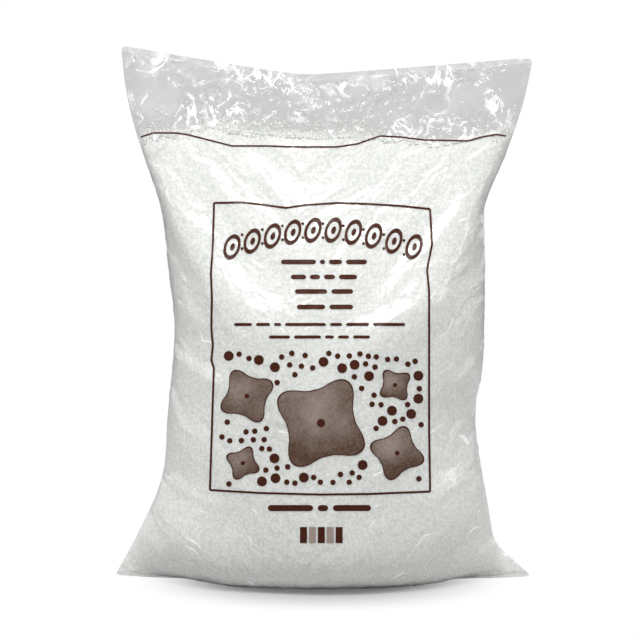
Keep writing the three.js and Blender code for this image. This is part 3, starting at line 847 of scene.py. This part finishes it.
# Rows of plain bars with round ends: y, bar height, and each bar's two ends.
barRows = [(262, 4.6, [(281, 316), (320, 325), (329, 342), (346, 367)]),
           (277, 4.6, [(291, 306), (310, 320), (324, 335), (339, 357)]),
           (291.5, 4.6, [(295, 327), (331.5, 353)]),
           (307, 4.6, [(297, 325), (329.5, 353)]),
           (324.5, 3.0, [(234, 252), (256, 270), (274, 281), (285, 326), (330, 342), (346, 369), (373, 405)]),
           (337, 3.0, [(269, 290), (294, 321), (325, 334), (338, 349), (353, 370)]),
           (508, 6.0, [(268, 313), (318, 328), (333, 371)])]


def makeBars():
    pieces = []
    for y, high, bars in barRows:
        for left, right in bars:
            columns = max(6, int((right - left) / printLook["step"]))
            cap = min(high, right - left) / 2

            def placeOf(across, up):
                end = min(across, 1 - across) * (right - left)
                narrow = 1.0 if end >= cap else math.sqrt(max(0.12, 1 - (1 - end / cap) ** 2))
                return left + (right - left) * across, y + (0.5 - up) * high * narrow

            pieces.append(printedPatch("bar", columns, 3, placeOf, inkDark))
    return pieces


finishPrint(makeBars(), "printBars")

# Five ink blocks, dark and tint in turn.
stepLook = {"count": 5, "left": 300.0, "top": 527.0, "wide": 7.0, "high": 16.0, "gap": 1.9}


def makeInkSteps():
    pieces = []
    for i in range(stepLook["count"]):
        left = stepLook["left"] + i * (stepLook["wide"] + stepLook["gap"])

        def placeOf(across, up):
            return left + stepLook["wide"] * across, stepLook["top"] + stepLook["high"] * up

        pieces.append(printedPatch("step", 3, 7, placeOf, inkDark if i % 2 == 0 else inkTint))
    return pieces


finishPrint(makeInkSteps(), "printInkSteps")

# Plain scatter cushions, each with a centre, the reach of its corners and a tilt, a piped edge and a button.
# Dots of two sizes fill the room between them.
cushions = [(321, 423, 50, 0.22), (247, 396, 29, -0.3), (397, 453, 28, 0.5), (395, 385, 18, -0.15),
            (243, 463, 18, 0.35)]
cushionLook = {"piping": 1.5, "button": 0.085, "leastButton": 2.2, "waist": 0.68}
dotLook = {"field": (219, 350, 424, 487), "tries": 6000,
           "kinds": [{"count": 17, "radius": 5.0, "room": 2.4, "rings": 2},
                     {"count": 58, "radius": 2.8, "room": 1.9, "rings": 1}]}


def cushionEdge(reach, tilt):
    def radiusOf(angle):
        corner = abs(math.sin(2 * (angle - tilt))) ** 3
        radius = reach * (cushionLook["waist"] + (1 - cushionLook["waist"]) * corner)
        return radius, radius, 0.0

    return radiusOf


# The share of full ink in a cushion's field: pale above and left of its middle, dense at its foot and edge.
def shadeField(field):
    points = pointsOf(field)
    middle = points.mean(axis=0)
    size = np.abs(points[:, 2] - middle[2]).max()
    across, up = (points[:, 0] - middle[0]) / size, (points[:, 2] - middle[2]) / size
    lit = np.exp(-((across + 0.2) ** 2 + (up - 0.25) ** 2) / 0.4)
    addAttribute(field, "inkShare", 0.85 - 0.6 * lit - 0.12 * up)


def makeCushions():
    fields, marks = [], []
    for x, y, reach, tilt in cushions:
        edge = cushionEdge(reach, tilt)
        inner = 1 - cushionLook["piping"] / reach
        button = roundOf(max(cushionLook["leastButton"], cushionLook["button"] * reach))
        around = max(48, int(reach * 4))
        fields.append(roundPatch("cushion", (x, y), edge, max(6, int(reach / 1.7)), around, inkTint))
        shadeField(fields[-1])
        marks.append(roundPatch("piping", (x, y), edge, 1, around, inkDark, inner, printLook["over"]))
        marks.append(roundPatch("button", (x, y), button, 3, 16, inkDark, 0.0, printLook["over"]))
    finishPrint(fields, "printCushions")
    finishPrint(marks, "printPiping")


def makeDots():
    pieces, taken = [], [(x, y, reach * 0.96) for x, y, reach, _ in cushions]
    left, top, right, bottom = dotLook["field"]
    for kind in dotLook["kinds"]:
        wanted, tries, radius = kind["count"], 0, kind["radius"]
        while wanted and tries < dotLook["tries"]:
            tries += 1
            x = randomDraws.uniform(left + radius, right - radius)
            y = randomDraws.uniform(top + radius, bottom - radius)
            if any(math.hypot(x - a, y - b) < r + radius + kind["room"] for a, b, r in taken):
                continue
            taken.append((x, y, radius))
            pieces.append(roundPatch("dot", (x, y), roundOf(radius), kind["rings"], 14, inkDark))
            wanted -= 1
    return pieces


makeCushions()
finishPrint(makeDots(), "printDots")
print("print is laid on the film")

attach(film, "root")
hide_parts("bag_film")
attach(fill, "root")
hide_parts("bead_fill")
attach(heapBeads, "root")
makeActive(fill)
bpy.ops.object.shade_smooth()
for name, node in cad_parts.items():
    if name.startswith("loose_bead"):
        node.data.materials.clear()
        node.data.materials.append(beadSkin)


# A plain white floor that keeps the bag's shadow, and soft light from above in front.
stageLook = {"floorSize": 12.0, "floorColour": "#DADADA", "shadowColour": "#BEBEBE", "worldLevel": 0.26,
             "lightsAim": (0, 0, 0.38)}


# The floor is matt beside the bag, with a faint glow there that lightens the bag's shadow, and turns into the
# plain white of the backdrop 21 cm away. To the camera it is painted a little darker beside the bag than it
# reflects, a painted shadow on top of the real one. It lies 0.5 mm below the bag's underside.
def makeFloor():
    bpy.ops.mesh.primitive_plane_add(size=stageLook["floorSize"], location=(0, 0, -0.0005))
    floor = bpy.context.object
    floor.name = "floor"
    placeInMesh(floor)
    material, tree = newMaterial("matt white paint")
    rays = addNode(tree, "ShaderNodeLightPath")
    # Painted shadow: the camera sees the darker shadowColour beside the bag.
    paint = addNode(tree, "ShaderNodeMix", {"data_type": "RGBA"}, Factor=rays.outputs["Is Camera Ray"],
                    in6=colour(stageLook["floorColour"]), in7=colour(stageLook["shadowColour"]))
    matt = addNode(tree, "ShaderNodeBsdfDiffuse", Color=paint.outputs[2])
    glow = addNode(tree, "ShaderNodeEmission", Color=(1, 1, 1, 1), Strength=1.0)
    place = addNode(tree, "ShaderNodeTexCoord")
    oval = addNode(tree, "ShaderNodeMapping", Vector=place.outputs["Object"], Scale=(0.8, 1, 1))
    far = addNode(tree, "ShaderNodeVectorMath", {"operation": "LENGTH"}, in0=oval.outputs[0])
    # Painted light: a faint glow near the bag lightens its shadow.
    fade = addNode(tree, "ShaderNodeMapRange", {"interpolation_type": "SMOOTHSTEP"},
                   Value=far.outputs["Value"], From_Min=0.08, From_Max=0.21, To_Min=0.14, To_Max=1.0)
    seen = addNode(tree, "ShaderNodeMath", {"operation": "MAXIMUM"}, in0=rays.outputs["Is Camera Ray"],
                   in1=rays.outputs["Is Transmission Ray"])
    share = addNode(tree, "ShaderNodeMath", {"operation": "MULTIPLY"}, in0=fade.outputs["Result"],
                    in1=seen.outputs[0])
    mixed = addNode(tree, "ShaderNodeMixShader", in0=share.outputs[0], in1=matt.outputs[0],
                    in2=glow.outputs[0])
    finishMaterial(tree, mixed.outputs[0])
    floor.data.materials.append(material)


# The backdrop looks plain white, directly, in reflections and through the film, but lights the bag softly.
def makeWorld():
    world = bpy.data.worlds.new("studio")
    scene.world = world
    world.use_nodes = True
    tree = world.node_tree
    tree.nodes.clear()
    rays = addNode(tree, "ShaderNodeLightPath")
    seen = addNode(tree, "ShaderNodeMath", {"operation": "MAXIMUM"}, in0=rays.outputs["Is Camera Ray"],
                   in1=rays.outputs["Is Glossy Ray"])
    through = addNode(tree, "ShaderNodeMath", {"operation": "MAXIMUM"}, in0=seen.outputs[0],
                      in1=rays.outputs["Is Transmission Ray"])
    soft = addNode(tree, "ShaderNodeBackground", Color=(1, 1, 1, 1), Strength=stageLook["worldLevel"])
    white = addNode(tree, "ShaderNodeBackground", Color=(1, 1, 1, 1), Strength=1.0)
    mixed = addNode(tree, "ShaderNodeMixShader", in0=through.outputs[0], in1=soft.outputs[0],
                    in2=white.outputs[0])
    output = tree.nodes.new("ShaderNodeOutputWorld")
    tree.links.new(mixed.outputs[0], output.inputs["Surface"])


def addSoftbox(name, place, size, power):
    data = bpy.data.lights.new(name, "AREA")
    data.shape = "RECTANGLE"
    data.size, data.size_y = size
    data.energy = power
    lamp = bpy.data.objects.new(name, data)
    lamp.location = place
    ahead = Vector(stageLook["lightsAim"]) - Vector(place)
    lamp.rotation_euler = ahead.to_track_quat("-Z", "Y").to_euler()
    scene.collection.objects.link(lamp)


makeFloor()
makeWorld()
addSoftbox("topFront", (-0.25, -1.4, 2.4), (1.3, 0.5), 41.5)
addSoftbox("leftStrip", (-1.9, -0.7, 1.2), (0.3, 1.5), 5)
addSoftbox("rightStrip", (1.9, -0.7, 1.1), (0.3, 1.5), 6.5)
addSoftbox("backTop", (0.3, 1.6, 2.1), (1.4, 0.8), 34)

print("stage is set")

scene.view_settings.view_transform = "Standard"
